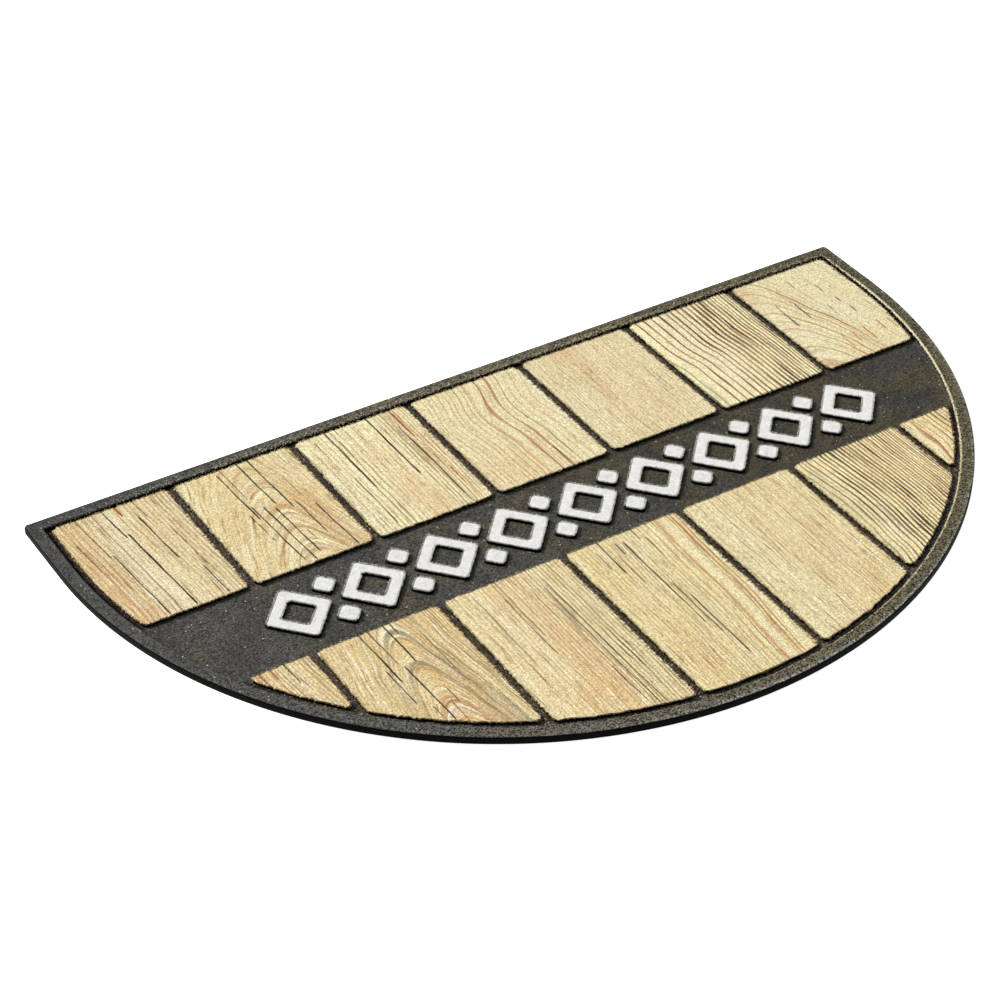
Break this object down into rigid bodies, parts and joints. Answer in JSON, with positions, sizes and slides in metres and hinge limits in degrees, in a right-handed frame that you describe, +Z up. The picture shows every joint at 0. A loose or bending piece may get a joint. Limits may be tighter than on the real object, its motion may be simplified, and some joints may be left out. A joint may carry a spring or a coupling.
{
  "type": "outdoor doormat",
  "caption": "Half-moon moulded rubber doormat with a raised rim, flocked pile fields printed as wood planks, and a bare band with white pile lozenges.",
  "frame": {"origin": "under the middle of the mat's length and depth, on the floor", "axes": "+X along the straight edge, to the right for someone who faces that edge from the arc; +Y towards the straight edge; +Z up"},
  "size_m": [0.75, 0.44, 0.0068],
  "materials": {
    "rubber": "matt, fine pebble grain",
    "plank_pile": "short flocked pile with a printed wood grain",
    "lozenge_pile": "short white flocked pile"
  },
  "bodies": {
    "root": {"rubber_base": "rubber", "plank_back_1": "plank_pile", "plank_back_2": "plank_pile", "plank_back_3": "plank_pile", "plank_back_4": "plank_pile", "plank_back_5": "plank_pile", "plank_back_6": "plank_pile", "plank_back_7": "plank_pile", "plank_front_1": "plank_pile", "plank_front_2": "plank_pile", "plank_front_3": "plank_pile", "plank_front_4": "plank_pile", "plank_front_5": "plank_pile", "plank_front_6": "plank_pile", "plank_front_7": "plank_pile", "lozenge_ring_1": "lozenge_pile", "lozenge_ring_2": "lozenge_pile", "lozenge_ring_3": "lozenge_pile", "lozenge_ring_4": "lozenge_pile", "lozenge_ring_5": "lozenge_pile", "lozenge_ring_6": "lozenge_pile", "lozenge_ring_7": "lozenge_pile", "lozenge_ring_8": "lozenge_pile", "lozenge_ring_9": "lozenge_pile", "small_lozenge_back_1": "lozenge_pile", "small_lozenge_back_2": "lozenge_pile", "small_lozenge_back_3": "lozenge_pile", "small_lozenge_back_4": "lozenge_pile", "small_lozenge_back_5": "lozenge_pile", "small_lozenge_back_6": "lozenge_pile", "small_lozenge_back_7": "lozenge_pile", "small_lozenge_back_8": "lozenge_pile", "small_lozenge_front_1": "lozenge_pile", "small_lozenge_front_2": "lozenge_pile", "small_lozenge_front_3": "lozenge_pile", "small_lozenge_front_4": "lozenge_pile", "small_lozenge_front_5": "lozenge_pile", "small_lozenge_front_6": "lozenge_pile", "small_lozenge_front_7": "lozenge_pile", "small_lozenge_front_8": "lozenge_pile"}
  },
  "joints": []
}
